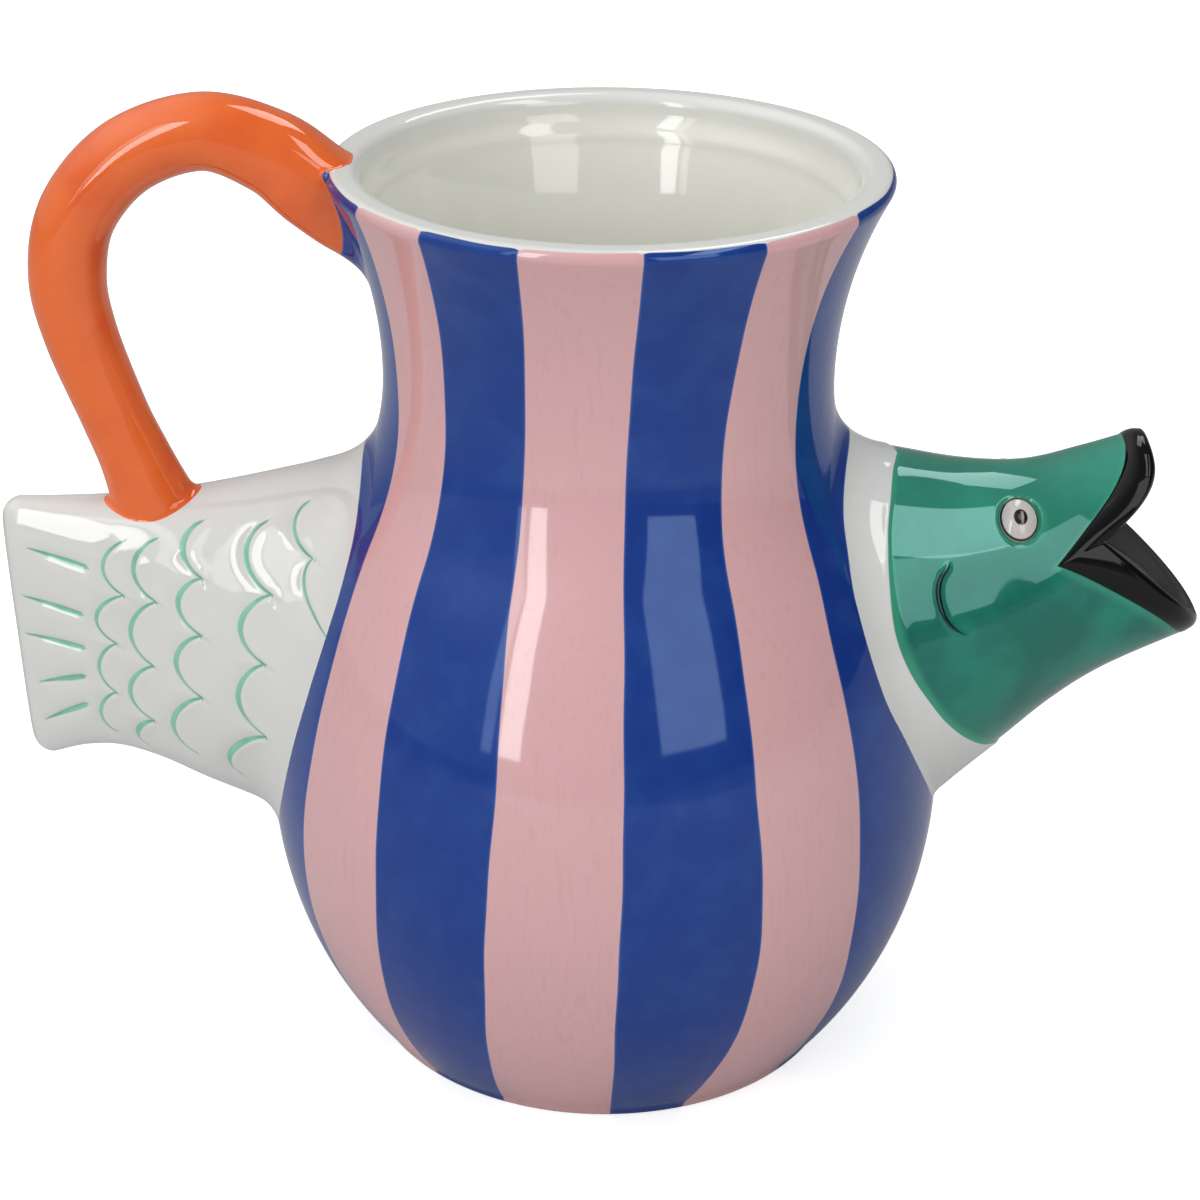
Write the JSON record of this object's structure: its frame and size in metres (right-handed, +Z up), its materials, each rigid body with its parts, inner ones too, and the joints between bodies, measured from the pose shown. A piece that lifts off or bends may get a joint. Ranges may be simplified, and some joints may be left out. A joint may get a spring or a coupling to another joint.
{
  "type": "fish-spout jug",
  "caption": "Waisted ceramic jug with a wide mouth, a hollow fish head as its spout, a hollow fish tail at its back and a looped handle from the rim to the tail.",
  "frame": {"origin": "centre of the foot, on the plane that the jug stands on, which is also the middle of the jug's length and width", "axes": "+Z up out of the mouth, +X the way the fish head pours, the tail and the handle at -X"},
  "size_m": [0.2882, 0.164, 0.2352],
  "materials": {
    "striped_glaze": "glossy painted stripes under clear glaze",
    "green_glaze": "glossy",
    "black_glaze": "glossy",
    "eye_glaze": "glossy",
    "white_glaze": "glossy",
    "orange_glaze": "glossy"
  },
  "bodies": {
    "root": {"body_shell": "striped_glaze", "head_spout": "green_glaze", "gape_lip": "black_glaze", "eye_near": "eye_glaze", "eye_far": "eye_glaze", "tail_chamber": "white_glaze", "handle": "orange_glaze"}
  },
  "joints": []
}
